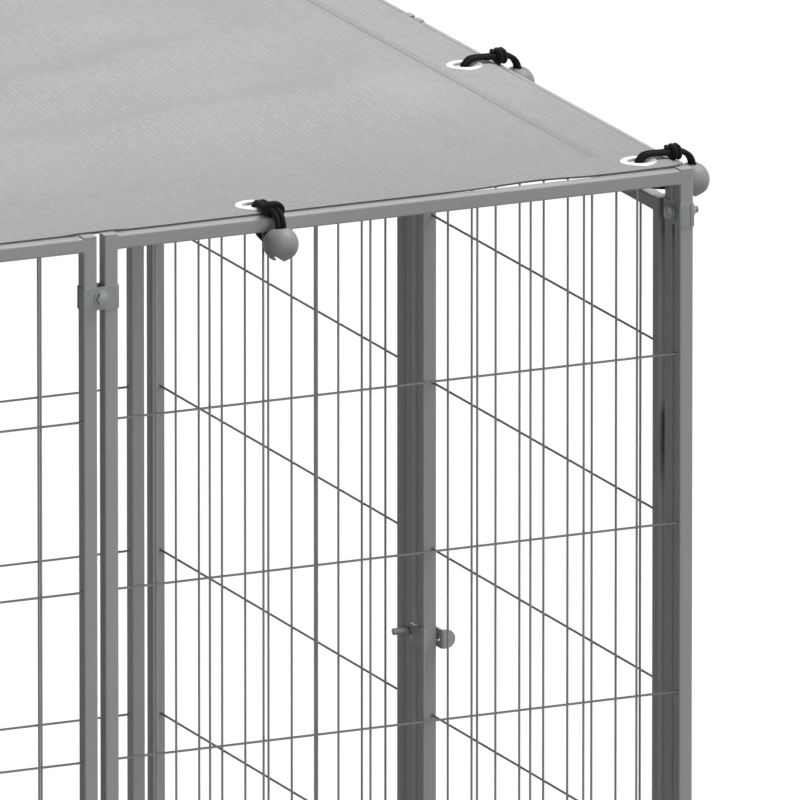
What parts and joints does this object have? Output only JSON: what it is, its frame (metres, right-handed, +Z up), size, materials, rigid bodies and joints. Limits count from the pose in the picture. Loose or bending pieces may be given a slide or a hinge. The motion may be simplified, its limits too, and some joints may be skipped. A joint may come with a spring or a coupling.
{
  "type": "outdoor dog kennel run",
  "caption": "Square run of bolted tube-and-wire panels with a hinged door, a sliding fork latch and a fabric roof held by ball ties.",
  "frame": {"origin": "on the ground under the middle of the run", "axes": "+Z up, the front wall faces -Y and the wall with the door faces +X"},
  "size_m": [1.1888, 1.1888, 1.1128],
  "materials": {
    "tube_paint": "grey powder-coated square steel tube",
    "mesh_wire": "grey coated welded steel wire",
    "cap_plastic": "moulded grey end cap",
    "hinge_paint": "grey powder-coated steel hinge",
    "zinc_hardware": "zinc-plated steel",
    "latch_steel": "bent steel sheet, dull grey",
    "clamp_sheet": "pressed steel sheet, grey-green coat",
    "roof_fabric": "coated woven polyester, light grey",
    "grommet_metal": "bright rolled eyelet",
    "ball_plastic": "moulded grey plastic",
    "cord_elastic": "black braided elastic cord"
  },
  "bodies": {
    "cage": {"front_left_posts": "tube_paint", "front_left_rails": "tube_paint", "front_left_mesh": "mesh_wire", "front_right_posts": "tube_paint", "front_right_rails": "tube_paint", "front_right_mesh": "mesh_wire", "right_rear_posts": "tube_paint", "right_rear_rails": "tube_paint", "right_rear_mesh": "mesh_wire", "back_right_posts": "tube_paint", "back_right_rails": "tube_paint", "back_right_mesh": "mesh_wire", "back_left_posts": "tube_paint", "back_left_rails": "tube_paint", "back_left_mesh": "mesh_wire", "left_rear_posts": "tube_paint", "left_rear_rails": "tube_paint", "left_rear_mesh": "mesh_wire", "left_front_posts": "tube_paint", "left_front_rails": "tube_paint", "left_front_mesh": "mesh_wire", "door_panel_posts": "tube_paint", "door_panel_rails": "tube_paint", "post_caps": "cap_plastic", "foot_caps": "cap_plastic", "hinge_frame_knuckles": "hinge_paint", "hinge_pins": "zinc_hardware", "latch_keeper_pin": "zinc_hardware", "clamp_bolts": "zinc_hardware", "clamp_nuts": "zinc_hardware", "clamp_outer_halves": "clamp_sheet", "clamp_inner_halves": "clamp_sheet", "roof_sheet": "roof_fabric", "grommet_eyelets": "grommet_metal", "grommet_washers": "grommet_metal", "bungee_balls": "ball_plastic", "bungee_cords": "cord_elastic", "bungee_hitches": "cord_elastic"},
    "door": {"door_stiles": "tube_paint", "door_rails": "tube_paint", "door_mesh": "mesh_wire", "door_caps": "cap_plastic", "hinge_door_knuckles": "hinge_paint", "latch_guide_rivet": "zinc_hardware"},
    "latch": {"latch_slider": "latch_steel"}
  },
  "joints": [
    {"name": "door_swing", "type": "hinge", "parent": "cage", "child": "door", "pos_m": [0.56325, -0.525, 0.55], "axis": [0, 0, -1], "range_deg": [0, 110]},
    {"name": "latch_slide", "type": "slide", "parent": "door", "child": "latch", "axis": [0, 1, 0], "range_m": [0, 0.0096]}
  ]
}
